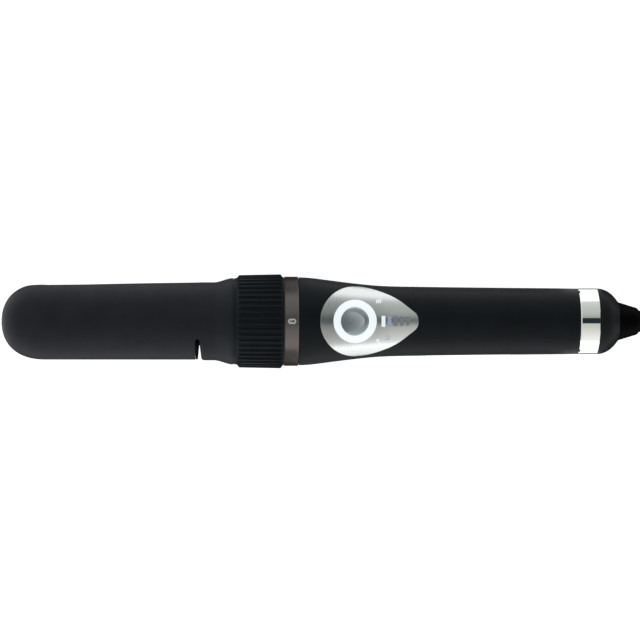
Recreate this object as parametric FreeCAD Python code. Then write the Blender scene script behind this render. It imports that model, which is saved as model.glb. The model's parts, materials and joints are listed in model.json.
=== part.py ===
import FreeCAD, Part
import math
import os

# Shielded curling iron, lying on a flat surface with its panel up and its mains lead tied in a
# hank behind it. Sizes are in millimetres.
#
# Every piece is first drawn in the tool's own frame: X runs along the axis from the shield's tip
# (negative) to the cord (positive), Z points out of the control panel. set_down() then tips the
# tool so that it rests on its collar and its end cap. The lead, the tie and the plug are drawn
# where they lie, in the resting frame.

# ---- driving dimensions ----------------------------------------------------------------------
# stations along the axis
shield_tip_x = -158.7
dome_end_x = -136.5
open_end_x = -60.0
flare_x = -53.5
shield_end_x = -43.1
collar_front_x = -42.8
collar_crest_x = -19.7
collar_rear_x = -18.6
index_front_x = -18.05
index_rear_x = -11.0
handle_front_x = -10.7
panel_x = 16.8
band_x = 129.0
band_end_x = 138.8
cap_end_x = 149.3
boot_end_x = 159.8
sleeve_end_x = 195.0

# radii
shield_r = 19.5
shield_wall = 1.8
liner_gap = 0.1
liner_wall = 1.0
flare_r = 21.65
foot_r = 20.5
foot_bore_r = 18.9
collar_front_r = 23.1
collar_rear_r = 23.5
index_r = 22.3
handle_wall = 2.0
neck_r = 15.4
band_r = 16.45
cap_rim_r = 16.45
cap_hole_r = 9.8
boot_r = 9.6
barrel_r = 9.5
barrel_wall = 1.0
holder_r = 16.6
holder_bore_r = 8.6
ring_r = 10.7
ring_bore_r = 7.2
button_r = 7.0

# the grip's outline, from the index ring to the trim band: (station, radius)
grip_outline = [(handle_front_x, 22.0), (-5.0, 21.7), (4.0, 20.6), (18.0, 18.85),
                (30.0, 17.75), (44.0, 17.35), (90.0, 16.8), (band_x, 16.4)]

# the control panel
panel_r = 17.3
panel_tip_x = 48.2
bezel_thick = 0.8
bezel_proud = 0.25
level_first_x = 30.85
level_pitch = 3.0
level_count = 5

# the collar's grip ribs
rib_count = 48
rib_floor_r = 22.35
rib_peak_r = 23.95
rib_half_share = 0.31

# the lock: three lugs on the barrel holder in a bayonet ring inside the collar
lug_count = 3
lug_r = 18.4
lug_half_deg = 12.0
lock_turn_deg = 45.0
lug_x = (-33.0, -29.5)

# the hair slot in the near side of the shield: its inner end, the rounding of its mouth, and the
# liner's lip that fills most of it and leaves a narrow slit
slot_top_y = -10.0
slot_round = 1.7
slit_top_y = -11.9
slit_round = 1.2
lip_r = 19.35
underside_end_x = -57.8

# screws of the casing and of the main board, and the slip rings along the swivel
screw_places = [(46.0, -8.5), (46.0, 8.5), (112.0, -8.0), (112.0, 8.0)]
board_screw_places = [(64.0, -8.0), (96.0, 8.0)]
slip_ring_places = (124.0, 130.0)

# the sleeve's ring cuts: first station, pitch, width and count
sleeve_cut_x = 165.0
sleeve_cut_pitch = 4.6
sleeve_cut_wide = 1.5
sleeve_cuts = 6

# the mains lead
cord_d = 6.0
cord_r = cord_d / 2
hank_pitch = 6.1
hank_levels = 4
hank_bend_r = 18.0
hank_half = 49.0
hank_waist = 3.1
hank_x = 320.5
tie_thick = 1.2

# the plug: where its face stands, its middle line and its half width
plug_face_x = 184.0
plug_y = 15.3
plug_z = 7.1
plug_half = 10.8
plug_long = 25.0
blade_long = 17.0
blade_apart = 12.7
blade_thick = 1.5
blade_half_widths = (3.15, 3.95)

# ---- small helpers ---------------------------------------------------------------------------
AXIS = FreeCAD.Vector(1, 0, 0)
CENTRE = FreeCAD.Vector(0, 0, 0)
FAR = 60.0


def vec(x, y, z):
    return FreeCAD.Vector(x, y, z)


def lines(points):
    """Straight edges through (x, r) points in the XZ plane."""
    corners = [vec(x, 0, r) for x, r in points]
    return [Part.makeLine(a, b) for a, b in zip(corners, corners[1:])]


def curve(points, first_slope=None):
    """One smooth edge through (x, r) points in the XZ plane."""
    places = [vec(x, 0, r) for x, r in points]
    spline = Part.BSplineCurve()
    if first_slope is None:
        spline.interpolate(places)
    else:
        ends = [(places[1] - places[0]).Length, (places[-1] - places[-2]).Length]
        spline.interpolate(places, InitialTangent=vec(ends[0], 0, first_slope * ends[0]),
                           FinalTangent=places[-1] - places[-2])
    return spline.toShape()


def spun(edges, start=0.0, sweep=360.0):
    """A closed outline turned about the axis. Angles run from +Z towards +Y."""
    solid = Part.Face(Part.Wire(edges)).revolve(CENTRE, AXIS, -sweep)
    solid = Part.Solid(solid.Shells[0]) if solid.ShapeType != "Solid" else solid
    solid.rotate(CENTRE, AXIS, -start)
    return solid


def turned(points, start=0.0, sweep=360.0):
    """A polygon of (x, r) points turned about the axis."""
    return spun(lines(points + points[:1]), start, sweep)


def ring(x0, x1, outer, inner, start=0.0, sweep=360.0):
    return turned([(x0, inner), (x0, outer), (x1, outer), (x1, inner)], start, sweep)


def rod(x0, x1, radius, y=0.0, z=0.0):
    return Part.makeCylinder(radius, x1 - x0, vec(x0, y, z), AXIS)


def post(x, y, z0, z1, radius):
    return Part.makeCylinder(radius, z1 - z0, vec(x, y, z0), vec(0, 0, 1))


def block(x0, x1, y0, y1, z0, z1):
    return Part.makeBox(x1 - x0, y1 - y0, z1 - z0, vec(x0, y0, z0))


def fused(shapes):
    whole = shapes[0].multiFuse(shapes[1:])
    return whole.removeSplitter()


def upright(points, z0, z1):
    """A polygon of (x, y) points standing from z0 to z1."""
    wire = Part.makePolygon([vec(x, y, z0) for x, y in points + points[:1]])
    return Part.Face(wire).extrude(vec(0, 0, z1 - z0))


def grip_layer(outer, inner):
    """The layer of the grip between two depths below its surface."""
    top = [(x, r - outer) for x, r in grip_outline]
    bottom = [(x, r - inner) for x, r in grip_outline]
    rear = lines([top[-1], bottom[-1]])
    front = lines([bottom[0], top[0]])
    return spun([curve(top)] + rear + [curve(bottom)] + front)


def grip_core(depth):
    """Everything inside the grip that is deeper than a depth."""
    top = [(x, r - depth) for x, r in grip_outline]
    sides = lines([top[-1], (top[-1][0], 0), (top[0][0], 0), top[0]])
    return spun([curve(top)] + sides)


# ---- the heat shield -------------------------------------------------------------------------
def dome(tip_x, end_x, radius):
    """Points of a blunt dome, from its tip to the place where it is full width."""
    power = 2.3
    length = end_x - tip_x
    steps = [0, 0.01, 0.04, 0.1, 0.2, 0.35, 0.55, 0.78, 1.0]
    return [(tip_x + t * length, radius * (1 - (1 - t) ** power) ** (1 / power)) for t in steps]


def bell(inset, end_x):
    """The shield's closed outline at a depth below its surface, from its tip back to end_x."""
    tip = shield_tip_x + inset
    nose = dome(tip, dome_end_x, shield_r - 0.15 - inset)
    side = lines([nose[-1], (open_end_x, shield_r - inset), (end_x, shield_r - inset)])
    return [curve(nose)] + side + lines([(end_x, shield_r - inset), (end_x, 0), (tip, 0)])


def open_side():
    """What is missing from the shield's underside, with its two long edges and its rear edge."""
    rear = [(open_end_x, 0), (underside_end_x, 0), (underside_end_x, -30)]
    near = [(-170, -30), (-170, 3.2), (open_end_x, 3.9)] + rear
    far = [(-170, -30), (-170, 3.2), (-147.5, 3.6), (-141, 6.0), (-135, 6.8), (-116, 6.3),
           (-100, 5.2), (-66, 2.8), (open_end_x, 1.8)] + rear
    halves = []
    for outline, side in ((near, -1), (far, 1)):
        wire = Part.makePolygon([vec(x, 0, z) for x, z in outline + outline[:1]])
        halves.append(Part.Face(wire).extrude(vec(0, side * FAR, 0)))
    return fused(halves)


def slot(left, right, top_y, mouth_r, rounded):
    """A slot up the shield's near side. Each side is its X at the inner end and at the mouth."""
    radius = (right[0] - left[0]) / 2
    middle = left[0] + radius
    mouth_y = mouth_r - shield_r
    outline = [(left[0], top_y), (right[0], top_y), (right[1], mouth_y), (right[1], -25),
               (left[1], -25), (left[1], mouth_y)]
    pieces = [upright(outline, 0, 25), post(middle, top_y, 0, 25, radius)]
    for side in rounded:
        outer = (left[1] if side < 0 else right[1]) + side * mouth_r
        corner = block(min(outer, middle), max(outer, middle), -25, mouth_y, 0, 25)
        pieces.append(corner.cut(post(outer, mouth_y, -1, 26, mouth_r)))
    return fused(pieces)


def shield_shell():
    flare = [(flare_x, shield_r), (-51.0, 19.75), (-47.0, 20.95), (-44.2, 21.6)]
    inner_r = shield_r - shield_wall
    body = spun(bell(0, flare_x + 0.5)).cut(spun(bell(shield_wall, flare_x + 5)))
    skirt = spun([curve(flare)] + lines([flare[-1], (shield_end_x, flare_r - 0.15),
                                         (shield_end_x, 21.2), (collar_front_x, 21.2),
                                         (collar_front_x, foot_r), (-18.8, foot_r),
                                         (-18.8, foot_bore_r), (-38.0, foot_bore_r),
                                         (-38.0, inner_r), (flare_x, inner_r), flare[0]]))
    hair_slot = slot((-62.2, -62.2), (-60.0, -59.3), slot_top_y, slot_round, (1,))
    return fused([body, skirt]).cut(open_side()).cut(hair_slot)


def shield_liner():
    """The inner shell, with a lip that stands out into the hair slot."""
    depth = shield_wall + liner_gap
    shell = spun(bell(depth, -45.0)).cut(spun(bell(depth + liner_wall, -40.0)))
    lip = ring(-62.1, -60.0, lip_r, shield_r - depth - liner_wall / 2)
    lip = lip.common(block(-65, -59, -25, slot_top_y - 0.6, 0, 25))
    slit = slot((-60.15, -60.85), (-59.95, -59.3), slit_top_y, slit_round, (-1, 1))
    return fused([shell, lip]).cut(open_side()).cut(slit)


def lock_collar():
    skin = [(collar_front_x, foot_r), (collar_front_x, 21.6), (-41.6, 21.6),
            (-40.4, collar_front_r), (collar_crest_x, collar_rear_r), (-18.9, rib_floor_r),
            (collar_rear_x, rib_floor_r), (collar_rear_x, foot_r)]
    pitch = 2 * math.pi / rib_count
    corners = []
    for k in range(rib_count):
        for share, radius in ((-rib_half_share, rib_floor_r), (0, rib_peak_r),
                              (rib_half_share, rib_floor_r)):
            angle = (k + 0.5 + share) * pitch
            corners.append(vec(collar_front_x, radius * math.sin(angle), radius * math.cos(angle)))
    ribbed = Part.Face(Part.makePolygon(corners + corners[:1])).extrude(vec(25, 0, 0))
    return turned(skin).common(ribbed)


def bayonet_ring():
    """The ring inside the collar: a groove for each lug, and the slot that lets the lug out."""
    body = ring(-37.8, -18.9, foot_bore_r, holder_r + 0.2)
    groove_x = (lug_x[0] - 0.4, lug_x[1] + 0.4)
    play = 1.2
    for k in range(lug_count):
        rest = k * 360.0 / lug_count - lug_half_deg - play
        width = 2 * (lug_half_deg + play)
        body = body.cut(ring(groove_x[0], groove_x[1], lug_r + 0.3, 15, rest - lock_turn_deg,
                             width + lock_turn_deg))
        body = body.cut(ring(lug_x[0], -18, lug_r + 0.3, 15, rest - lock_turn_deg, width))
    return body


# ---- the hot end -----------------------------------------------------------------------------
def barrel():
    tube = ring(-149.0, -34.6, barrel_r, barrel_r - barrel_wall)
    return tube.cut(barrel_screw_holes(1.3))


def barrel_screw_holes(radius):
    return Part.makeCylinder(radius, 40, vec(-38.5, -20, 0), vec(0, 1, 0))


def barrel_tip_cap():
    nose = dome(-153.6, -149.0, barrel_r)
    stem = lines([nose[-1], (-149.0, 8.4), (-143.5, 8.4), (-143.5, 0), nose[0]])
    return spun([curve(nose)] + stem)


def heater_core(upper):
    """Half of the round core that presses the ceramic heater against the barrel."""
    half = rod(-141.0, -60.0, barrel_r - barrel_wall - 0.05)
    side = block(-150, -50, -10, 10, 1.6, 10) if upper else block(-150, -50, -10, 10, -10, -1.6)
    return half.common(side)


def ceramic_heater():
    return block(-136.0, -64.0, -5.5, 5.5, -1.6, 1.6)


def thermal_fuse():
    return rod(-52.0, -41.0, 1.7, 3.0, 0)


def heater_leads():
    """Two insulated leads, the live one in two lengths with the thermal fuse between them."""
    live = [rod(-64.0, -52.0, 0.8, 3.0, 0), rod(-41.0, 54.0, 0.8, 3.0, 0)]
    return Part.makeCompound(live + [rod(-64.0, 54.0, 0.8, -3.0, 0)])


def thermistor():
    """A glass bead against the lower core half, with its two thin leads."""
    bead = rod(-60.0, -55.5, 1.2, 0, -4.5)
    return fused([bead, rod(-56.0, 54.0, 0.45, 0.6, -4.2), rod(-56.0, 54.0, 0.45, -0.6, -4.2)])


def barrel_holder():
    """The heat-proof tube that carries the barrel, with the lugs that hold the shield."""
    skin = [(-43.6, 10.6), (-43.6, 13.5), (-41.0, holder_r), (index_rear_x, holder_r),
            (index_rear_x, 19.5), (-8.0, 19.5), (-8.0, holder_r), (4.0, holder_r),
            (4.0, holder_bore_r), (-34.0, holder_bore_r), (-34.0, barrel_r),
            (-42.5, barrel_r)]
    lugs = [ring(lug_x[0], lug_x[1], lug_r, holder_r - 1, k * 360.0 / lug_count - lug_half_deg,
                 2 * lug_half_deg) for k in range(lug_count)]
    holes = barrel_screw_holes(1.3).fuse(barrel_screw_holes(2.4).cut(rod(-45, -30, 14.6)))
    return fused([turned(skin)] + lugs).cut(holes)


def barrel_screws():
    shank = barrel_screw_holes(1.25).common(rod(-45, -30, 14.6).cut(rod(-45, -30, 7.6)))
    heads = barrel_screw_holes(2.2).common(rod(-45, -30, 16.2).cut(rod(-45, -30, 14.6)))
    sides = [block(-45, -30, 0, 20, -5, 5), block(-45, -30, -20, 0, -5, 5)]
    return Part.makeCompound([fused([shank.common(s), heads.common(s)]) for s in sides])


def mica_washer():
    return ring(-34.6, -34.0, barrel_r, holder_bore_r)


def friction_washer():
    """The spring ring that holds the collar where it is turned to."""
    return ring(collar_rear_x + 0.15, index_front_x, 21.9, holder_r)


def index_ring():
    skin = [(index_front_x, holder_r), (index_front_x, index_r - 0.3),
            (index_front_x + 0.3, index_r), (index_rear_x - 0.3, index_r),
            (index_rear_x, index_r - 0.3), (index_rear_x, holder_r)]
    return turned(skin)


# ---- the handle's casing ---------------------------------------------------------------------

def label_window(depth):
    """The shallow label seat that wraps the near side and the underside of the grip."""
    wedge = ring(53.0, 95.5, 20, 14, 205, 71)
    return grip_layer(-0.5, depth).common(wedge)


def teardrop(z0, z1):
    """The panel's outline: a half circle that runs out to a small round tip."""
    flank = [(panel_x, panel_r), (28.9, 15.0), (39.2, 10.1), (45.3, 5.3), (panel_tip_x, 0)]
    edges = [Part.Arc(vec(panel_x, panel_r, z0), vec(panel_x - panel_r, 0, z0),
                      vec(panel_x, -panel_r, z0)).toShape()]
    for side in (-1, 1):
        spline = Part.BSplineCurve()
        spline.interpolate([vec(x, side * y, z0) for x, y in flank],
                           InitialTangent=vec(1, 0, 0), FinalTangent=vec(0, -side, 0))
        edges.append(spline.toShape())
    wire = Part.Wire(Part.__sortEdges__(edges))
    return Part.Face(wire).extrude(vec(0, 0, z1 - z0))


def level_bars():
    """The row of level windows behind the button."""
    bars = []
    for k in range(level_count):
        x = level_first_x + k * level_pitch
        tall = 2.7 - 0.15 * k
        bars.append(block(x - 0.95, x + 0.95, -tall, tall, 10, 25))
    return bars


def heat_icon():
    """Three short slanted strokes."""
    strokes = []
    for k in (-1, 0, 1):
        stroke = block(-0.3, 0.3, -0.95, 0.95, 10, 25)
        stroke.rotate(CENTRE, vec(0, 0, 1), -18)
        stroke.translate(vec(28.6 + k * 0.95, 9.9, 0))
        strokes.append(stroke)
    return strokes


def turn_icon():
    """Two small circles and a larger one beside them, each with a bridge to what it encloses."""
    rings = []
    bridge = 0.15
    for x, y, r in ((28.15, -9.55, 0.8), (29.0, -11.1, 0.8), (32.9, -8.1, 1.2)):
        mark = post(x, y, 10, 25, r).cut(post(x, y, 10, 25, r - 0.45))
        rings.append(mark.cut(block(x, x + 2, y - bridge / 2, y + bridge / 2, 10, 25)))
    return rings


def panel_marks():
    return Part.makeCompound(level_bars() + heat_icon() + turn_icon())


def handle_top_cover():
    shell = fused([grip_layer(0, handle_wall), ring(127.0, band_end_x, neck_r, 13.4),
                   ring(-7.8, -6.0, 19.9, holder_r + 0.2)])
    bosses = [post(x, y, 0, 20, 3.0) for x, y in screw_places]
    bosses = [b.common(grip_core(handle_wall / 2)) for b in bosses]
    shell = shell.common(block(-20, 140, -30, 30, 0, 30))
    shell = fused([shell] + bosses)
    for x, y in screw_places:
        shell = shell.cut(post(x, y, -1, 4, 1.5))
    seat = teardrop(1, 30).common(grip_layer(-1, bezel_thick))
    shell = shell.cut(seat).cut(post(panel_x, 0, 5, 30, ring_r))
    shell = shell.cut(block(29.0, 45.0, -3.2, 3.2, 5, 30))
    shell = shell.cut(Part.makeCompound(heat_icon() + turn_icon()))
    return shell.cut(label_window(0.3))


def handle_bottom_cover():
    shell = fused([grip_layer(0, handle_wall), ring(127.0, band_end_x, neck_r, 13.4),
                   ring(-7.8, -6.0, 19.9, holder_r + 0.2)])
    bosses = [post(x, y, -20, 0, 3.6) for x, y in screw_places]
    bosses += [post(x, y, -20, -6, 2.6) for x, y in board_screw_places]
    bosses = [b.common(grip_core(handle_wall / 2)) for b in bosses]
    shell = shell.common(block(-20, 140, -30, 30, -30, 0))
    shell = fused([shell] + bosses)
    for x, y in screw_places:
        shell = shell.cut(post(x, y, -30, 1, 1.55)).cut(post(x, y, -30, -10.0, 2.9))
    for x, y in board_screw_places:
        shell = shell.cut(post(x, y, -10.5, 0, 1.2))
    return shell.cut(label_window(0.3))


def rating_label():
    """A blank foil label in its seat."""
    return label_window(0.3).common(grip_layer(0.15, 0.3)).common(ring(53.5, 95, 20, 14, 206, 69))


def handle_screws():
    screws = [fused([post(x, y, -12.0, -10.0, 2.7), post(x, y, -10.0, 3.5, 1.5)])
              for x, y in screw_places]
    return Part.makeCompound(screws)


def trim_band():
    skin = [(band_x, neck_r), (band_x, band_r - 0.22), (band_x + 0.6, band_r),
            (band_end_x - 0.3, band_r), (band_end_x, band_r - 0.2), (band_end_x, neck_r)]
    return turned(skin)


def end_cap():
    """The domed cap, with a skirt inside the neck and a shoulder that traps the boot."""
    back = [(band_end_x, cap_rim_r), (140.4, 16.35), (142.4, 15.8), (145.3, 14.2),
            (147.5, 12.1), (cap_end_x, cap_hole_r)]
    inside = [back[-1], (142.2, cap_hole_r), (142.2, 12.4), (131.0, 12.4), (131.0, 13.35),
              (band_end_x, 13.35), back[0]]
    return spun([curve(back, -0.02)] + lines(inside))


# ---- the control panel -----------------------------------------------------------------------
def control_bezel():
    plate = teardrop(1, 30).common(grip_layer(-bezel_proud, bezel_thick))
    return plate.cut(post(panel_x, 0, 5, 30, ring_r)).cut(panel_marks())


def light_ring():
    """The clear ring round the button, counterbored underneath to trap the button's flange."""
    body = post(panel_x, 0, 12.6, 30, ring_r).cut(post(panel_x, 0, 10, 30, ring_bore_r))
    body = body.cut(post(panel_x, 0, 10, 14.3, 8.0))
    return body.common(grip_core(-0.45))


def level_lens():
    """The light guide under the level windows, with one bar up through each of them."""
    base = block(29.0, 45.0, -3.2, 3.2, 12.6, 25).common(grip_core(bezel_thick))
    bars = Part.makeCompound(level_bars()).common(grip_layer(-bezel_proud, 1.5))
    return fused([base] + bars.Solids)


def icon_lenses(marks):
    return Part.makeCompound(marks).common(grip_layer(-bezel_proud, handle_wall))


def button_cap():
    cap = post(panel_x, 0, 14.1, 25, button_r).common(grip_core(0.35))
    dish_r = 34.0
    dish = Part.makeSphere(dish_r, vec(panel_x, 0, 17.75 + dish_r))
    flange = post(panel_x, 0, 13.2, 14.15, 7.7)
    stem = post(panel_x, 0, 12.0, 13.3, 1.7)
    return fused([cap.cut(dish), flange, stem])


def button_spring():
    """The return spring, round the switch, between the board and the button's flange."""
    wire_r, coil_r, low, high = 0.28, 5.4, 8.6, 13.2
    turns = 3.0
    climb = high - low - 2 * wire_r
    helix = Part.makeHelix(climb / turns, climb, coil_r)
    start = Part.Wire(Part.makeCircle(wire_r, vec(coil_r, 0, 0), vec(0, 1, 0)))
    coil = Part.Wire(helix).makePipeShell([start], True, True)
    coil.translate(vec(panel_x, 0, low + wire_r))
    return coil


def tactile_switch():
    return block(panel_x - 3, panel_x + 3, -3, 3, 8.6, 11.4).cut(post(panel_x, 0, 9.4, 12, 1.85))


def switch_plunger():
    return post(panel_x, 0, 10.3, 12.0, 1.7)


def control_board():
    return block(4.0, 42.0, -11.5, 11.5, 7.4, 8.6)


def panel_leds():
    """Eight under the light ring, one under each level window and one under each mark."""
    leds = []
    for k in range(8):
        angle = (k + 0.5) * math.pi / 4
        x = panel_x + 9.2 * math.cos(angle)
        y = 9.2 * math.sin(angle)
        leds.append(block(x - 0.8, x + 0.8, y - 0.8, y + 0.8, 8.6, 9.5))
    for k in range(level_count - 1):
        x = level_first_x + k * level_pitch
        leds.append(block(x - 0.8, x + 0.8, -0.8, 0.8, 8.6, 9.5))
    for y in (-10.0, 10.0):
        leds.append(block(28.2, 29.8, y - 0.8, y + 0.8, 8.6, 9.5))
    return Part.makeCompound(leds)


# ---- the electronics -------------------------------------------------------------------------

def main_board():
    board = block(54.0, 106.0, -11.0, 11.0, -6.0, -4.8)
    for x, y in board_screw_places:
        board = board.cut(post(x, y, -8, -3, 1.2))
    return board


def board_screws():
    return Part.makeCompound([fused([post(x, y, -4.8, -3.4, 2.2), post(x, y, -10.0, -4.8, 1.15)])
                              for x, y in board_screw_places])


def microcontroller():
    body = block(70.0, 79.0, -8.5, -2.5, -4.6, -3.0)
    pins = [block(70.6 + k * 1.27, 71.0 + k * 1.27, -9.6, -1.4, -4.8, -4.2) for k in range(7)]
    return fused([body] + pins)


def triac():
    tab = block(84.0, 94.0, -9.6, -8.3, -4.8, 9.0)
    body = block(84.0, 94.0, -8.3, -5.2, -4.8, 4.0)
    return fused([tab, body])


def filter_capacitor():
    return block(78.0, 92.0, 0.5, 8.0, -4.8, 6.5)


def smoothing_capacitor():
    return post(68.5, 5.0, -4.8, 7.0, 4.0)


def wire_connectors():
    front = block(54.0, 60.0, -5.0, 5.0, -4.8, 1.8)
    rear = block(100.0, 106.0, -5.0, 5.0, -4.8, 1.8)
    return Part.makeCompound([front, rear])


def ribbon_cable():
    """The flat cable from the panel's board over to the main board."""
    outline = [(36.0, 6.7), (36.0, 7.4), (62.0, 7.4), (62.0, -4.8), (61.3, -4.8), (61.3, 6.7)]
    wire = Part.makePolygon([vec(x, -4.5, z) for x, z in outline + outline[:1]])
    return Part.Face(wire).extrude(vec(0, 9.0, 0))


# ---- the cord swivel -------------------------------------------------------------------------
def swivel_housing():
    """The fixed cup that carries the two brushes."""
    skin = [(118.5, 0), (118.5, 11.9), (122.0, 11.9), (122.0, 14.2), (124.0, 14.2), (124.0, 11.9),
            (139.2, 11.9), (139.2, 4.7), (137.2, 4.7), (137.2, 8.2), (120.5, 8.2), (120.5, 0)]
    return turned(skin).cut(mains_leads())


def brush_contacts():
    """A springy strip for each slip ring, with a foot on its lead."""
    first = fused([block(120.5, 127.5, 5.4, 6.4, -2.2, 2.2),
                   block(120.5, 121.3, 2.3, 6.4, -2.2, 2.2)])
    second = fused([block(120.5, 133.5, -6.4, -5.4, -2.2, 2.2),
                    block(120.5, 121.3, -6.4, -2.3, -2.2, 2.2)])
    return Part.makeCompound([first, second])


def mains_leads():
    return Part.makeCompound([rod(106.0, 120.5, 0.9, y, 0) for y in (-3.3, 3.3)])


def swivel_core():
    core = rod(121.6, 141.4, 4.6)
    grooves = [ring(x, x + 3.0, 6, 3.6) for x in slip_ring_places]
    return core.cut(grooves[0]).cut(grooves[1])


def slip_rings():
    return Part.makeCompound([ring(x, x + 3.0, 5.3, 3.6) for x in slip_ring_places])


def cord_boot():
    """The turning gland: a flange trapped in the cap, then a short cone with a round shoulder."""
    shoulder = [(157.2, 7.2), (158.6, 6.75), (159.5, 6.0), (boot_end_x, 5.4)]
    outline = lines([(141.4, 0), (141.4, 4.6), (139.5, 4.6), (139.5, 11.6), (141.9, 11.6),
                     (141.9, boot_r), (cap_end_x + 0.2, boot_r), shoulder[0]])
    end = lines([shoulder[-1], (boot_end_x, 0), (141.4, 0)])
    return spun(outline + [curve(shoulder)] + end)


def strain_relief():
    """The tapered sleeve, cut by rings so that it bends with the cord."""
    skin = lines([(boot_end_x, 0), (boot_end_x, 5.4), (sleeve_end_x - 0.6, 4.2),
                  (sleeve_end_x, 3.8), (sleeve_end_x, 0), (boot_end_x, 0)])
    body = spun(skin)
    for k in range(sleeve_cuts):
        x = sleeve_cut_x + sleeve_cut_pitch * k
        body = body.cut(ring(x, x + sleeve_cut_wide, 8, 3.7))
    return body


# ---- how the tool lies -----------------------------------------------------------------------
rest_x = (collar_crest_x, band_end_x)
rest_r = (collar_rear_r, cap_rim_r)
lie_angle = math.degrees(math.atan((rest_r[0] - rest_r[1]) / (rest_x[1] - rest_x[0])))
lie = FreeCAD.Placement(CENTRE, FreeCAD.Rotation(vec(0, 1, 0), lie_angle))
lie.Base = vec(-(shield_tip_x + sleeve_end_x) / 2, 0,
               -lie.Rotation.multVec(vec(rest_x[0], 0, -rest_r[0])).z)


def set_down(shape):
    """Put a piece of the tool from its own frame where the lying tool has it."""
    placed = shape.copy()
    placed.Placement = lie.multiply(placed.Placement)
    return placed


# ---- the mains lead --------------------------------------------------------------------------
# The lead leaves the sleeve, comes down to the surface and runs into the hank. Its other end
# comes out of the hank beside it and ends in the plug.
sleeve_mouth = lie.multVec(vec(sleeve_end_x, 0, 0))
hank_near_x = hank_x - hank_half
sleeve_ahead = lie.multVec(vec(sleeve_end_x + 17.0, 0, 0))
cord_route = [(sleeve_mouth.x, 0, sleeve_mouth.z), (sleeve_ahead.x, 0, sleeve_ahead.z),
              (211, -3.5, 8.4), (229, -9.6, 4.3), (248, -15.6, 3.1),
              (hank_near_x, -hank_bend_r, 3.1)]
tail_route = [(hank_near_x, 24.1, 3.1), (259.5, 23.6, 3.2), (247.5, 20.2, 4.4), (236, 16.2, 6.6),
              (225, 15.3, 7.1)]


def pipe(route, radius, name):
    """A tube along straight runs that are joined by tangent arcs."""
    points = [vec(*p) for p in route]
    edges = []
    last = points[0]
    bends = []
    for a, b, c in zip(points, points[1:], points[2:]):
        back = (a - b).normalize()
        on = (c - b).normalize()
        turn = math.pi - back.getAngle(on)
        reach = 0.45 * min((a - b).Length, (c - b).Length)
        bends.append(reach / math.tan(turn / 2))
        start = b + back * reach
        end = b + on * reach
        middle = b + (back + on).normalize() * bends[-1] * (1 / math.cos(turn / 2) - 1)
        edges.append(Part.LineSegment(last, start).toShape())
        edges.append(Part.Arc(start, middle, end).toShape())
        last = end
    edges.append(Part.LineSegment(last, points[-1]).toShape())
    path = Part.Wire(edges)
    section = Part.Wire(Part.makeCircle(radius, points[0], points[1] - points[0]))
    tube = path.makePipeShell([section], True, True)
    share = tube.Volume / (math.pi * radius ** 2 * path.Length)
    print(name, "length", round(path.Length, 1), "bend radii", [round(b, 1) for b in bends],
          "volume over section times length", round(share, 4))
    return tube


def hank_outline(out):
    """The hank's turn at a distance outside the innermost one: two bends and a narrow waist."""
    bend = hank_bend_r + out
    waist_r = hank_half ** 2 - hank_bend_r ** 2 + hank_waist ** 2
    waist_r /= 2 * (hank_bend_r - hank_waist)
    centre_y = hank_waist + waist_r
    slope = math.atan2(centre_y, hank_half)
    joint_x = hank_half - bend * math.cos(slope)
    joint_y = bend * math.sin(slope)
    edges = []
    for side in (1, -1):
        edges.append(Part.Arc(vec(side * joint_x, -side * joint_y, 0),
                              vec(side * (hank_half + bend), 0, 0),
                              vec(side * joint_x, side * joint_y, 0)).toShape())
        edges.append(Part.Arc(vec(side * joint_x, side * joint_y, 0),
                              vec(0, side * (hank_waist + out), 0),
                              vec(-side * joint_x, side * joint_y, 0)).toShape())
    return Part.Wire(edges)


def cord_hank():
    """The outer shape of all the turns, raised a little over the tie that passes under it."""
    tall = hank_levels * hank_pitch + 0.2
    body = Part.Face(hank_outline(hank_pitch + cord_r)).extrude(vec(0, 0, tall))
    for side in (-1, 1):
        body = body.cut(post(side * hank_half, 0, -1, tall + 1, hank_bend_r - cord_r - 0.4))
    body = body.cut(block(-12, 12, -30, 30, -1, tie_thick + 0.1))
    body.translate(vec(hank_x, 0, 0))
    return body


def hank_tie():
    """A strap round the waist of the hank."""
    half = hank_waist + hank_pitch + cord_r + 0.6
    low, high = 0.0, hank_levels * hank_pitch + 0.2 + tie_thick + 0.1
    outer = block(-7, 7, -half - tie_thick, half + tie_thick, low, high)
    long_edges = [e for e in outer.Edges if abs(e.tangentAt(e.FirstParameter).x) > 0.9]
    outer = outer.makeFillet(2.4, long_edges)
    strap = outer.cut(block(-8, 8, -half, half, low + tie_thick, high - tie_thick))
    strap.translate(vec(hank_x, 0, 0))
    return strap


def plug_body():
    """A moulded two-pin plug with its own short strain relief."""
    rear_x = plug_face_x + plug_long
    body = block(plug_face_x, rear_x, plug_y - plug_half, plug_y + plug_half, 0.1, 2 * plug_z - 0.1)
    edges = [e for e in body.Edges if max(v.Point.x for v in e.Vertexes) > plug_face_x + 1]
    body = body.makeFillet(4.0, edges)
    relief = Part.makeCone(5.2, 3.6, tail_route[-1][0] - rear_x + 2.0,
                           vec(rear_x - 2.0, plug_y, plug_z), AXIS)
    return fused([body, relief])


def plug_blades():
    blades = []
    for side, half in zip((-1, 1), blade_half_widths):
        y = plug_y + side * blade_apart / 2
        blades.append(block(plug_face_x - blade_long, plug_face_x, y - blade_thick / 2,
                            y + blade_thick / 2, plug_z - half, plug_z + half))
    return Part.makeCompound(blades)


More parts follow.
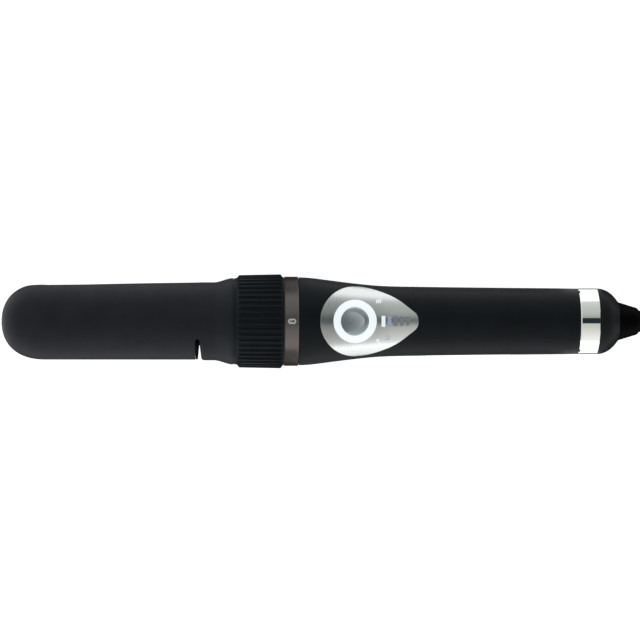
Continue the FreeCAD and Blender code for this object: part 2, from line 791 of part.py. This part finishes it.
# ---- writing the nodes -----------------------------------------------------------------------
def tool_pieces():
    return {
        "shield_shell": shield_shell(),
        "shield_liner": shield_liner(),
        "lock_collar": lock_collar(),
        "bayonet_ring": bayonet_ring(),
        "barrel": barrel(),
        "barrel_tip_cap": barrel_tip_cap(),
        "heater_core_upper": heater_core(True),
        "heater_core_lower": heater_core(False),
        "ceramic_heater": ceramic_heater(),
        "thermal_fuse": thermal_fuse(),
        "thermistor": thermistor(),
        "heater_leads": heater_leads(),
        "barrel_holder": barrel_holder(),
        "barrel_screws": barrel_screws(),
        "mica_washer": mica_washer(),
        "friction_washer": friction_washer(),
        "index_ring": index_ring(),
        "handle_top_cover": handle_top_cover(),
        "handle_bottom_cover": handle_bottom_cover(),
        "handle_screws": handle_screws(),
        "rating_label": rating_label(),
        "trim_band": trim_band(),
        "end_cap": end_cap(),
        "control_bezel": control_bezel(),
        "light_ring": light_ring(),
        "level_lens": level_lens(),
        "icon_lens_heat": icon_lenses(heat_icon()),
        "icon_lens_turn": icon_lenses(turn_icon()),
        "button_cap": button_cap(),
        "button_spring": button_spring(),
        "switch_plunger": switch_plunger(),
        "tactile_switch": tactile_switch(),
        "control_board": control_board(),
        "panel_leds": panel_leds(),
        "main_board": main_board(),
        "board_screws": board_screws(),
        "microcontroller": microcontroller(),
        "triac": triac(),
        "filter_capacitor": filter_capacitor(),
        "smoothing_capacitor": smoothing_capacitor(),
        "wire_connectors": wire_connectors(),
        "ribbon_cable": ribbon_cable(),
        "mains_leads": mains_leads(),
        "swivel_housing": swivel_housing(),
        "brush_contacts": brush_contacts(),
        "swivel_core": swivel_core(),
        "slip_rings": slip_rings(),
        "cord_boot": cord_boot(),
        "strain_relief": strain_relief(),
    }


def lead_pieces():
    hank = cord_hank()
    plug = plug_body()
    return {
        "cord_hank": hank,
        "cord_run": pipe(cord_route, cord_r, "cord_run").cut(hank),
        "cord_tail": pipe(tail_route, cord_r, "cord_tail").cut(hank).cut(plug),
        "hank_tie": hank_tie(),
        "plug_body": plug,
        "plug_blades": plug_blades(),
    }


def main():
    os.makedirs("parts", exist_ok=True)
    pieces = {name: set_down(shape) for name, shape in tool_pieces().items()}
    pieces.update(lead_pieces())
    for name, shape in pieces.items():
        if not shape.isValid() or not shape.Solids:
            print("not a valid solid:", name)
        shape.exportStep(f"parts/{name}.step")
    print(len(pieces), "nodes, lying angle", round(lie_angle, 3))


main()
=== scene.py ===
import json
import math

import bmesh
import bpy
from mathutils import Matrix, Vector


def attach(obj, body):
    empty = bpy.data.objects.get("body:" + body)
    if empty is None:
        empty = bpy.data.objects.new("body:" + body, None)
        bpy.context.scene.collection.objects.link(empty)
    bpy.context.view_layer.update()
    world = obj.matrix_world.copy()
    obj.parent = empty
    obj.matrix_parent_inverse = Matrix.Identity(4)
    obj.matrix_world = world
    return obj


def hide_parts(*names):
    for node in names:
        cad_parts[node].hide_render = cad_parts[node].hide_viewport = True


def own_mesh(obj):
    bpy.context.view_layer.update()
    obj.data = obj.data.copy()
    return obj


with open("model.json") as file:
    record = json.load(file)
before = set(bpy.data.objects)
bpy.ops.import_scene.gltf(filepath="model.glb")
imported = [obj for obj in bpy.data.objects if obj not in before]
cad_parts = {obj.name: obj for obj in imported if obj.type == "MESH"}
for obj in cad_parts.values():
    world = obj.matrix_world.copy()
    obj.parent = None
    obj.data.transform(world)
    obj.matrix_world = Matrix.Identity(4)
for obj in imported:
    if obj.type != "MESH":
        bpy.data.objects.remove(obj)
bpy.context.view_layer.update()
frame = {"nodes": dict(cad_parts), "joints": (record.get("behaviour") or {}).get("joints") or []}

# The looks of a curling iron that lies on its collar and its end cap, panel up. Lengths in the
# helpers below are in millimetres of the tool's own frame: X along the axis from the tip to the
# cord, Z out of the panel. tool() turns them into metres where the tool lies.
MM = 0.001
SCENE = bpy.context.scene

# Stations along the axis, and the radii that pieces made here sit on.
SWIVEL_X = 130.0
SLEEVE_END_X = 195.0
BUTTON_X = 16.8
RING_MARK_X = -14.35
RING_R = 22.3

swivel = next(j for j in frame["joints"] if j["name"] == "cord_swivel")
AXIS = Vector(swivel["axis"]).normalized()
ACROSS = Vector((0, 1, 0))
UP = AXIS.cross(ACROSS)
ORIGIN = Vector(swivel["pos_m"]) - AXIS * SWIVEL_X * MM


def tool(x, y, z):
    return ORIGIN + (AXIS * x + ACROSS * y + UP * z) * MM


def around(x, radius, angle):
    """A point at a station, a radius and an angle from the panel side towards +Y."""
    return tool(x, radius * math.sin(angle), radius * math.cos(angle))


def new_piece(name, data, body=None, surface=None):
    """Link an object, and say what it rides on and its material."""
    piece = bpy.data.objects.new(name, data)
    SCENE.collection.objects.link(piece)
    if surface is not None:
        data.materials.append(surface.material)
    if body is not None:
        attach(piece, body)
    return piece


def mesh_of_curve(curve):
    """A curve's evaluated mesh."""
    drawn = bpy.data.objects.new(curve.name, curve)
    SCENE.collection.objects.link(drawn)
    bpy.context.view_layer.update()
    data = bpy.data.meshes.new_from_object(drawn.evaluated_get(
        bpy.context.evaluated_depsgraph_get()))
    bpy.data.objects.remove(drawn)
    data.materials.clear()
    return data


def colour_ramp(tree, fac, stops):
    node = tree.nodes.new("ShaderNodeValToRGB")
    points = node.color_ramp.elements
    while len(points) < len(stops):
        points.new(0.5)
    for point, (place, colour) in zip(points, stops):
        point.position = place
        point.color = (*colour, 1)
    tree.links.new(fac, node.inputs["Fac"])
    return node.outputs["Color"]


# ---- materials ---------------------------------------------------------------------------------
class Surface:
    """A Principled material whose colour, roughness and relief come from its nodes."""

    def __init__(self, name, **sockets):
        self.material = bpy.data.materials.new(name)
        self.material.use_nodes = True
        self.tree = self.material.node_tree
        self.shader = self.tree.nodes["Principled BSDF"]
        self.place = self.tree.nodes.new("ShaderNodeTexCoord").outputs["Object"]
        self.relief = None
        for socket, value in sockets.items():
            self.shader.inputs[socket.replace("_", " ")].default_value = value

    def link(self, a, b):
        self.tree.links.new(a, b)

    def noise(self, size, detail=2.0, stretch=(1, 1, 1), rough=0.55):
        """Noise whose features are about size millimetres, longer where stretch is larger."""
        scaled = self.tree.nodes.new("ShaderNodeMapping")
        scaled.inputs["Scale"].default_value = [1 / (size * MM * s) for s in stretch]
        self.link(self.place, scaled.inputs["Vector"])
        node = self.tree.nodes.new("ShaderNodeTexNoise")
        node.inputs["Scale"].default_value = 1.0
        node.inputs["Detail"].default_value = detail
        node.inputs["Roughness"].default_value = rough
        self.link(scaled.outputs["Vector"], node.inputs["Vector"])
        return node.outputs["Fac"]

    def along(self, direction, start, end):
        """0 to 1 between two distances in millimetres from the tool's origin."""
        dot = self.tree.nodes.new("ShaderNodeVectorMath")
        dot.operation = "DOT_PRODUCT"
        dot.inputs[1].default_value = direction
        self.link(self.place, dot.inputs[0])
        zero = ORIGIN.dot(direction)
        return self.spread(dot.outputs["Value"], zero + start * MM, zero + end * MM)

    def spread(self, value, start, end, low=0.0, high=1.0):
        node = self.tree.nodes.new("ShaderNodeMapRange")
        node.inputs["From Min"].default_value = start
        node.inputs["From Max"].default_value = end
        node.inputs["To Min"].default_value = low
        node.inputs["To Max"].default_value = high
        self.link(value, node.inputs["Value"])
        return node.outputs["Result"]

    def maths(self, operation, a, b):
        node = self.tree.nodes.new("ShaderNodeMath")
        node.operation = operation
        for socket, value in zip(node.inputs, (a, b)):
            if isinstance(value, (int, float)):
                socket.default_value = value
            else:
                self.link(value, socket)
        return node.outputs["Value"]

    def ramp(self, fac, stops):
        return colour_ramp(self.tree, fac, stops)

    def coloured(self, colour):
        self.link(colour, self.shader.inputs["Base Color"])
        return self

    def mottled(self, size, dark, light, stretch=(1, 1, 1)):
        return self.coloured(self.ramp(self.noise(size, 3.0, stretch), [(0.3, dark), (0.7, light)]))

    def gloss(self, size, low, high, stretch=(1, 1, 1)):
        rough = self.spread(self.noise(size, 2.0, stretch), 0.3, 0.7, low, high)
        self.link(rough, self.shader.inputs["Roughness"])
        return self

    def raised(self, height, depth, strength=1.0):
        """Relief of a depth in millimetres from a height between 0 and 1."""
        bump = self.tree.nodes.new("ShaderNodeBump")
        bump.inputs["Strength"].default_value = strength
        bump.inputs["Distance"].default_value = depth * MM
        self.link(height, bump.inputs["Height"])
        if self.relief is not None:
            self.link(self.relief, bump.inputs["Normal"])
        self.relief = bump.outputs["Normal"]
        self.link(self.relief, self.shader.inputs["Normal"])
        return self

    def seam(self, half):
        """A fine groove where the grip's two covers meet."""
        across = self.maths("SUBTRACT", self.along(UP, -half, half), 0.5)
        return self.raised(self.maths("ABSOLUTE", across, 0.0), 0.3)

    def grained(self, size, depth, strength=1.0, stretch=(1, 1, 1)):
        return self.raised(self.noise(size, 2.0, stretch), depth, strength)


def grey(value, blue=0.0, green=None):
    """A grey with its green and blue raised by a share; green follows blue unless it is given."""
    green = blue / 2 if green is None else green
    return (value, value * (1 + green), value * (1 + blue))


def plastic(name, shade, rough, grain=0.35, depth=0.012, blue=0.0, green=None, shine=0.25,
            **sockets):
    surface = Surface(name, Specular_IOR_Level=shine, **sockets)
    surface.mottled(14.0, grey(shade * 0.88, blue, green), grey(shade * 1.12, blue, green))
    surface.gloss(9.0, rough - 0.04, rough + 0.04)
    return surface.grained(grain, depth, 0.5)


def metal(name, dark, light, rough, stretch=(1, 1, 1), size=0.5, depth=0.004, **sockets):
    surface = Surface(name, Metallic=1.0, **sockets)
    surface.mottled(size, dark, light, stretch)
    surface.gloss(size * 1.7, rough * 0.8, rough * 1.2, stretch)
    return surface.grained(size, depth, 0.5, stretch)


# ---- the camera --------------------------------------------------------------------------------
FRAME_WIDTH = 320.0
EYE = (-41.5, 0.65, 1400.0)
AIM = (0.0, 0.65, 0.0)
camera = bpy.data.objects.new("camera", bpy.data.cameras.new("camera"))
SCENE.collection.objects.link(camera)
SCENE.camera = camera
sight = tool(*AIM) - tool(*EYE)
back = -sight.normalized()
right = ACROSS.cross(back).normalized()
camera.matrix_world = Matrix((right, back.cross(right), back)).transposed().to_4x4()
camera.location = tool(*EYE)
camera.data.sensor_width = 36.0
camera.data.lens = camera.data.sensor_width * sight.length / (FRAME_WIDTH * MM)
camera.data.clip_end = 20.0

# ---- the cord ----------------------------------------------------------------------------------
CORD = 6.0
PITCH = 6.1
HANK_X, HANK_HALF, HANK_BEND, HANK_WAIST = 320.5, 49.0, 18.0, 3.1
LEVELS = 4
LOW_Z = 3.05
TIE_THICK = 1.2
TIE_HALF_LONG = 7.0
TIE_RISE_HALF = 26.0
# The turns go up inside, and come down outside. In each turn the cord climbs a level over the last
# part of the turn, and it moves out to the outer column within one turn.
CLIMB_FROM, CLIMB_SHARE = 0.76, 0.24
OUT_FROM, OUT_SHARE = 3.32, 0.26
TURNS_UP = 3.5
mouth, ahead = tool(SLEEVE_END_X, 0, 0) / MM, tool(SLEEVE_END_X + 17, 0, 0) / MM
ROUTE = [tuple(mouth), tuple(ahead), (211, -3.5, 8.4), (229, -9.6, 4.3), (248, -15.6, 3.1),
         (HANK_X - HANK_HALF, -HANK_BEND, 3.1)]
TAIL = [(259.5, 23.6, 3.2), (247.5, 20.2, 4.4), (236, 16.2, 6.6), (225, 15.3, 7.1)]


def hank_loop(out):
    """One turn of the hank, as (x, y) points from the near side of its near end."""
    bend = HANK_BEND + out
    waist_r = HANK_HALF ** 2 - HANK_BEND ** 2 + HANK_WAIST ** 2
    waist_r /= 2 * (HANK_BEND - HANK_WAIST)
    centre_y = HANK_WAIST + waist_r
    slope = math.atan2(centre_y, HANK_HALF)
    points = []
    for side in (1, -1):
        # the waist arc on this side's way out, then the bend round the far end
        for step in (-0.8, 0.0, 0.8):
            turn = step * (math.pi / 2 - slope)
            points.append((side * (waist_r - out) * math.sin(turn),
                           side * ((waist_r - out) * math.cos(turn) - centre_y)))
        for step in range(8):
            turn = (step / 7 * 2 - 1) * (math.pi - slope) * 0.93
            points.append((side * (HANK_HALF + bend * 1.02 * math.cos(turn)),
                           side * bend * 1.02 * math.sin(turn)))
    return points


def cord_line():
    """The whole lead: the run down from the sleeve, two columns of turns, and the tail."""
    line = list(ROUTE)
    inner, outer = hank_loop(0.0), hank_loop(PITCH)
    count = len(inner)
    for i in range(7 * count - 6):
        turn = i / count
        spot = i % count
        share = min(1.0, max(0.0, (turn - OUT_FROM) / OUT_SHARE))
        x, y = (a + (b - a) * share for a, b in zip(inner[spot], outer[spot]))
        whole, part = int(turn), turn % 1
        step = min(1.0, max(0.0, (part - CLIMB_FROM) / CLIMB_SHARE))
        level = whole + step if turn < TURNS_UP else 6 - whole - step
        level = min(level, LEVELS - 1)
        z = LOW_Z + PITCH * level
        over_tie = max(0.0, 1 - (abs(x) / TIE_RISE_HALF) ** 2)
        z += over_tie * TIE_THICK * (1 - 0.6 * level / (LEVELS - 1))
        line.append((HANK_X + x, y, z))
    return line + TAIL


def cord_curve(name, points, radius):
    data = bpy.data.curves.new(name, "CURVE")
    data.dimensions = "3D"
    data.bevel_depth = radius * MM
    data.bevel_resolution = 5
    data.resolution_u = 6
    spline = data.splines.new("NURBS")
    spline.points.add(len(points) - 1)
    for point, place in zip(spline.points, points):
        point.co = (*(c * MM for c in place), 1)
    spline.order_u = 3
    spline.use_endpoint_u = True
    return data


cord_surface = plastic("cord_black", 0.008, 0.42, grain=0.8, depth=0.02)
lead = new_piece("lead", cord_curve("lead", cord_line(), CORD / 2), "lead",
                 cord_surface)
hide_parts("cord_run", "cord_hank", "cord_tail")


# ---- the tie round the hank ----------------------------------------------------------------------
def strap_path(half, low, high, corner, lap):
    """(y, z) points round a rounded rectangle, from the top's middle back over its start."""
    steps = 6
    points = [(0.0, high), (half - corner, high)]
    middles = [(1, high - corner, 90), (1, low + corner, 0), (-1, low + corner, -90),
               (-1, high - corner, -180)]
    for side, z, start in middles:
        for k in range(steps + 1):
            angle = math.radians(start - 90 * k / steps)
            points.append((side * (half - corner) + corner * math.cos(angle),
                           z + corner * math.sin(angle)))
    rise = 1.25
    return points + [(-half * 0.6, high + rise * 0.1), (-half * 0.3, high + rise * 0.9),
                     (0.0, high + rise), (lap, high + rise)]


def tie_strap():
    """A woven strap with a lapped end, drawn along its path and thickened."""
    path = strap_path(13.4, 0.65, 25.5, 2.6, 8.0)
    columns = [-1.0, -0.94, -0.5, 0.0, 0.5, 0.94, 1.0]
    mesh = bmesh.new()
    rows = []
    for y, z in path:
        rows.append([mesh.verts.new((HANK_X * MM + c * TIE_HALF_LONG * MM, y * MM, z * MM))
                     for c in columns])
    for row, following in zip(rows, rows[1:]):
        for k in range(len(columns) - 1):
            mesh.faces.new((row[k], row[k + 1], following[k + 1], following[k]))
    bmesh.ops.recalc_face_normals(mesh, faces=mesh.faces)
    data = bpy.data.meshes.new("tie_strap")
    mesh.to_mesh(data)
    mesh.free()
    for face in data.polygons:
        face.use_smooth = True
    fabric = plastic("tie_fabric", 0.02, 0.85, grain=0.5, depth=0.05, shine=0.1)
    for direction in ((1, 0, 0), (0, 0.7, 0.7)):
        thread = fabric.tree.nodes.new("ShaderNodeTexWave")
        thread.inputs["Scale"].default_value = 1 / (0.9 * MM) / 6.28 * 2
        thread.inputs["Distortion"].default_value = 0.6
        turned = fabric.tree.nodes.new("ShaderNodeVectorMath")
        turned.operation = "DOT_PRODUCT"
        turned.inputs[1].default_value = direction
        fabric.link(fabric.place, turned.inputs[0])
        combined = fabric.tree.nodes.new("ShaderNodeCombineXYZ")
        fabric.link(turned.outputs["Value"], combined.inputs["X"])
        fabric.link(combined.outputs["Vector"], thread.inputs["Vector"])
        fabric.raised(thread.outputs["Fac"], 0.12, 0.7)
    strap = new_piece("tie_strap", data, "lead", fabric)
    thick = strap.modifiers.new("thick", "SOLIDIFY")
    thick.thickness = TIE_THICK * 0.9 * MM
    thick.offset = 0.0
    rounded = strap.modifiers.new("rounded", "BEVEL")
    rounded.width = 0.25 * MM
    rounded.segments = 2
    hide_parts("hank_tie")
    return strap


strap = tie_strap()


# ---- the lock mark on the index ring --------------------------------------------------------------
def lock_mark():
    """A white inlay with two windows that lies on the index ring's curve."""
    half_long, half_wide, proud = 2.05, 1.3, 0.07
    outline = bpy.data.curves.new("lock_mark_outline", "CURVE")
    outline.dimensions = "2D"
    outline.fill_mode = "BOTH"
    outline.extrude = proud * MM
    shapes = [(0.0, half_long, half_wide, half_wide), (-0.95, 0.28, 0.5, 0.12),
              (0.45, 0.82, 0.5, 0.12)]
    for centre, long, wide, corner in shapes:
        corners = [(long - corner, wide - corner, 0), (-long + corner, wide - corner, 90),
                   (-long + corner, -wide + corner, 180), (long - corner, -wide + corner, 270)]
        points = []
        for x, y, start in corners:
            for k in range(9):
                angle = math.radians(start + 90 * k / 8)
                points.append((centre + x + corner * math.cos(angle),
                               y + corner * math.sin(angle)))
        spline = outline.splines.new("POLY")
        spline.points.add(len(points) - 1)
        for point, (x, y) in zip(spline.points, points):
            point.co = (x * MM, y * MM, 0, 1)
        spline.use_cyclic_u = True
    data = mesh_of_curve(outline)
    for vertex in data.vertices:
        x, y, z = (c / MM for c in vertex.co)
        vertex.co = around(RING_MARK_X + x, RING_R + z, y / RING_R)
    white = Surface("mark_white", Roughness=0.5)
    white.mottled(1.0, grey(0.78), grey(0.86))
    white.grained(0.3, 0.01)
    return new_piece("lock_mark", data, "handle", white)


lock_mark()

# ---- light and floor ---------------------------------------------------------------------------
# The light is a bright horizon, a softer roof that is warmer and stronger on the near side, a
# narrow dark gap along the middle of the roof, a light roof towards the tip, and darkness past
# both ends. ROOF goes across, from -Y to +Y.
ROOF = [(-0.90, (0.97, 0.97, 0.94)), (-0.56, (0.77, 0.78, 0.71)), (-0.34, (0.67, 0.68, 0.63)),
        (-0.15, (0.62, 0.63, 0.59)), (-0.11, (0.02, 0.03, 0.035)), (0.18, (0.02, 0.03, 0.035)),
        (0.22, (0.38, 0.42, 0.39)), (0.44, (0.53, 0.56, 0.52)), (0.74, (0.58, 0.62, 0.58)),
        (0.92, (0.68, 0.70, 0.67))]
TIP_ROOF = (0.75, 0.76, 0.76)
DARK_END = (0.01, 0.014, 0.018)
HORIZON_NEAR, HORIZON_FAR = 1.9, 1.3


def studio():
    world = bpy.data.worlds.new("studio")
    world.use_nodes = True
    SCENE.world = world
    tree = world.node_tree
    toward = tree.nodes.new("ShaderNodeSeparateXYZ")
    tree.links.new(tree.nodes.new("ShaderNodeTexCoord").outputs["Generated"],
                   toward.inputs["Vector"])

    def spread(source, start, end, low=0.0, high=1.0):
        node = tree.nodes.new("ShaderNodeMapRange")
        node.interpolation_type = "SMOOTHSTEP"
        for socket, value in (("From Min", start), ("From Max", end), ("To Min", low),
                              ("To Max", high)):
            node.inputs[socket].default_value = value
        tree.links.new(source, node.inputs["Value"])
        return node.outputs["Result"]

    def mixed(share, a, b):
        node = tree.nodes.new("ShaderNodeMix")
        node.data_type = "RGBA"
        tree.links.new(share, node.inputs["Factor"])
        for socket, colour in ((node.inputs[6], a), (node.inputs[7], b)):
            if isinstance(colour, tuple):
                socket.default_value = (*colour, 1)
            else:
                tree.links.new(colour, socket)
        return node.outputs[2]

    across = tree.nodes.new("ShaderNodeMapRange")
    across.inputs["From Min"].default_value = -1.0
    tree.links.new(toward.outputs["Y"], across.inputs["Value"])
    roof = colour_ramp(tree, across.outputs["Result"],
                       [((place + 1) / 2, colour) for place, colour in ROOF])
    ahead_of_tip = spread(toward.outputs["X"], -0.20, -0.05, 1.0, 0.0)
    sky = mixed(ahead_of_tip, roof, TIP_ROOF)
    horizon = mixed(spread(toward.outputs["Y"], -0.4, 0.4), (HORIZON_NEAR,) * 3,
                    (HORIZON_FAR,) * 3)
    low = spread(toward.outputs["Z"], 0.13, 0.36, 1.0, 0.0)
    sky = mixed(low, sky, horizon)
    behind_cord = spread(toward.outputs["X"], 0.12, 0.45, 0.0, 0.9)
    dark_ends = mixed(behind_cord, sky, DARK_END)
    beyond_tip = spread(toward.outputs["X"], -0.80, -0.45, 0.9, 0.0)
    dark_ends = mixed(beyond_tip, dark_ends, DARK_END)
    # a camera near the floor looks past both ends, so the lowest part stays bright
    sky = mixed(spread(toward.outputs["Z"], 0.08, 0.16), sky, dark_ends)
    tree.links.new(sky, tree.nodes["Background"].inputs["Color"])


def flat_sheet(name, x0, x1, y0, y1, z, surface):
    data = bpy.data.meshes.new(name)
    data.from_pydata([(x, y, z) for x, y in ((x0, y0), (x1, y0), (x1, y1), (x0, y1))], [],
                     [(0, 1, 2, 3)])
    sheet = new_piece(name, data, surface=surface)
    return sheet


def reflected_only(card):
    """Hide a card from everything but reflections."""
    card.visible_camera = False
    card.visible_diffuse = False
    card.visible_shadow = False
    return card


def black_card(name, stations, reach):
    """A dark card on the floor that only reflections see, which draws the tool's outline."""
    return reflected_only(flat_sheet(name, stations[0] * MM, stations[1] * MM, -reach * MM,
                                     reach * MM, CARD_Z * MM, card_surface))


def standing_card(name, stations, y, height):
    """A grey card on edge beside the tool that only reflections see."""
    data = bpy.data.meshes.new(name)
    near, far = stations[0] * MM, stations[1] * MM
    data.from_pydata([(near, y * MM, 0), (far, y * MM, 0), (far, y * MM, height * MM),
                      (near, y * MM, height * MM)], [], [(0, 1, 2, 3)])
    card = new_piece(name, data, surface=grey_surface)
    return reflected_only(card)


CARD_Z = 0.3
studio()
paper = Surface("paper", Roughness=0.9, Specular_IOR_Level=0.1, Emission_Strength=0.92)
paper.shader.inputs["Emission Color"].default_value = (1, 1, 1, 1)
paper.mottled(40.0, grey(0.74), grey(0.78))
flat_sheet("floor", -12, 12, -12, 12, 0, paper)
card_surface = Surface("black_card", Roughness=0.9, Specular_IOR_Level=0.0)
card_surface.mottled(40.0, grey(0.004), grey(0.006))
grey_surface = Surface("grey_card", Roughness=0.9, Specular_IOR_Level=0.0)
grey_surface.mottled(40.0, grey(0.11), grey(0.13))
black_card("card_front", (-195, -42), 55)
black_card("card_ring", (-42, -26), 100)
standing_card("card_side_near", (-66, -16), -100, 65)
standing_card("card_side_far", (-66, -16), 100, 65)
black_card("card_grip", (-26, 106), 55)
black_card("card_band", (106, 126), 26)
black_card("card_rear", (126, 170), 55)

# ---- what each CAD node is made of --------------------------------------------------------------
bezel = Surface("brushed_panel", Metallic=1.0)
brushing = bezel.noise(0.10, 3.0, stretch=(1, 40, 40))
bezel.coloured(bezel.ramp(brushing, [(0.3, (0.68, 0.70, 0.70)), (0.7, (0.76, 0.78, 0.78))]))
bezel.gloss(0.12, 0.26, 0.36, stretch=(1, 40, 40))
bezel.grained(0.10, 0.005, 0.5, stretch=(1, 40, 40))

glow = Surface("light_guide", Roughness=0.3, Emission_Strength=0.68)
glow.shader.inputs["Emission Color"].default_value = (0.93, 0.98, 1.0, 1)
glow.mottled(2.0, (0.55, 0.60, 0.64), (0.62, 0.67, 0.71))

# The marks beside the button and the first level window shine, the second window is faintly
# blue, and the others are off.
lens = Surface("mark_lens", Roughness=0.3, Emission_Strength=0.75)
lens.mottled(2.0, (0.34, 0.38, 0.42), (0.40, 0.44, 0.48))
white_light, blue_light, no_light = (0.85, 0.94, 1.0), (0.13, 0.20, 0.30), (0.0, 0.0, 0.0)
lit = lens.ramp(lens.along(AXIS, 26.0, 46.0),
                [(0.0, white_light), (0.283, white_light), (0.30, blue_light),
                 (0.45, blue_light), (0.48, no_light), (1.0, no_light)])
lens.link(lit, lens.shader.inputs["Emission Color"])

button = metal("button_metal", (0.60, 0.67, 0.71), (0.66, 0.73, 0.77), 0.34, size=0.3)
button.shader.inputs["Metallic"].default_value = 0.85

grip = plastic("grip_black", 0.0125, 0.45, blue=0.5, shine=0.08, Sheen_Weight=0.08,
               Sheen_Roughness=0.4)
grip.seam(0.15)

SURFACES = {
    "shield_shell": plastic("soft_black", 0.028, 0.48, grain=0.3, blue=0.26, green=0.05,
                            shine=0.08, Sheen_Weight=0.04, Sheen_Roughness=0.4),
    "shield_liner": plastic("liner_black", 0.001, 0.6, shine=0.03),
    "lock_collar": plastic("ribbed_black", 0.013, 0.45, blue=0.8, shine=0.12),
    "index_ring": metal("bronze_paint", (0.172, 0.151, 0.145), (0.205, 0.183, 0.177), 0.36,
                        size=0.3),
    "handle_top_cover": grip,
    "trim_band": metal("polished_chrome", (0.86, 0.87, 0.85), (0.90, 0.91, 0.89), 0.05,
                       size=20.0),
    "end_cap": plastic("cap_black", 0.018, 0.42, blue=0.3, shine=0.08),
    "cord_boot": plastic("boot_black", 0.002, 0.55, shine=0.04),
    "control_bezel": bezel,
    "light_ring": glow,
    "level_lens": lens,
    "button_cap": button,
    "barrel": metal("titanium_coat", (0.26, 0.29, 0.36), (0.33, 0.36, 0.44), 0.25,
                    stretch=(1, 12, 12), size=0.4),
    "plug_body": plastic("plug_black", 0.008, 0.4),
    "plug_blades": metal("blade_nickel", (0.68, 0.66, 0.58), (0.76, 0.74, 0.66), 0.22),
    "handle_screws": metal("plain_steel", (0.5, 0.5, 0.5), (0.62, 0.62, 0.62), 0.3),
    "rating_label": plastic("label_foil", 0.35, 0.4),
    "inner": plastic("inner_plastic", 0.05, 0.5),
}
SAME = {"handle_bottom_cover": "handle_top_cover", "strain_relief": "cord_boot",
        "barrel_tip_cap": "barrel", "barrel_screws": "handle_screws",
        "icon_lens_heat": "level_lens", "icon_lens_turn": "level_lens"}
for name, node in frame["nodes"].items():
    surface = SURFACES.get(SAME.get(name, name), SURFACES["inner"])
    for slot in node.material_slots:
        slot.material = surface.material

# ---- the bezel's bright rim ----------------------------------------------------------------------
def sharp_loops(node, least_angle):
    """The closed chains of a node's sharp edges, as lists of points."""
    mesh = bmesh.new()
    mesh.from_mesh(node.data)
    bmesh.ops.remove_doubles(mesh, verts=mesh.verts, dist=1e-6)
    sharp = {e for e in mesh.edges if e.is_manifold and e.calc_face_angle() > least_angle}
    loops = []
    while sharp:
        edge = sharp.pop()
        chain = [edge.verts[0], edge.verts[1]]
        while True:
            following = next((e for e in chain[-1].link_edges if e in sharp), None)
            if following is None:
                break
            sharp.remove(following)
            chain.append(following.other_vert(chain[-1]))
        loops.append([v.co.copy() for v in chain])
    mesh.free()
    return loops


def bezel_rim():
    """A polished bead along the outer edge of the bezel's face."""
    loops = sharp_loops(frame["nodes"]["control_bezel"], math.radians(50))
    spans = [max(p.x for p in loop) - min(p.x for p in loop) for loop in loops]
    outer = [loop for loop, span in zip(loops, spans) if span > 0.95 * max(spans)]
    points = max(outer, key=lambda loop: sum(p.dot(UP) for p in loop) / len(loop))
    data = bpy.data.curves.new("bezel_rim", "CURVE")
    data.dimensions = "3D"
    data.bevel_depth = 0.2 * MM
    data.bevel_resolution = 3
    spline = data.splines.new("POLY")
    spline.points.add(len(points) - 2)
    for point, place in zip(spline.points, points):
        point.co = (*place, 1)
    spline.use_cyclic_u = True
    bright = metal("bright_rim", (0.80, 0.81, 0.80), (0.88, 0.89, 0.88), 0.22, size=0.8)
    return new_piece("bezel_rim", data, "handle", bright)


bezel_rim()


# ---- the spring under the button -----------------------------------------------------------------
def return_spring():
    """The coil round the switch, drawn at one length on the handle."""
    wire_r, coil_r, low, high, turns = 0.28, 5.38, 8.62, 13.16, 3
    steps = 24
    line = bpy.data.curves.new("spring_line", "CURVE")
    line.dimensions = "3D"
    line.bevel_depth = wire_r * MM
    line.bevel_resolution = 3
    line.use_fill_caps = True
    spline = line.splines.new("POLY")
    spline.points.add(turns * steps)
    for k, point in enumerate(spline.points):
        angle = 2 * math.pi * k / steps
        z = low + wire_r + (high - low - 2 * wire_r) * k / (turns * steps)
        place = tool(BUTTON_X + coil_r * math.cos(angle), coil_r * math.sin(angle), z)
        point.co = (*place, 1)
    spring = new_piece("return_spring", mesh_of_curve(line), "handle",
                       SURFACES["handle_screws"])
    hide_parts("button_spring")
    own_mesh(spring)


return_spring()

# ---- the view transform ------------------------------------------------------------------------
SCENE.view_settings.view_transform = "Standard"
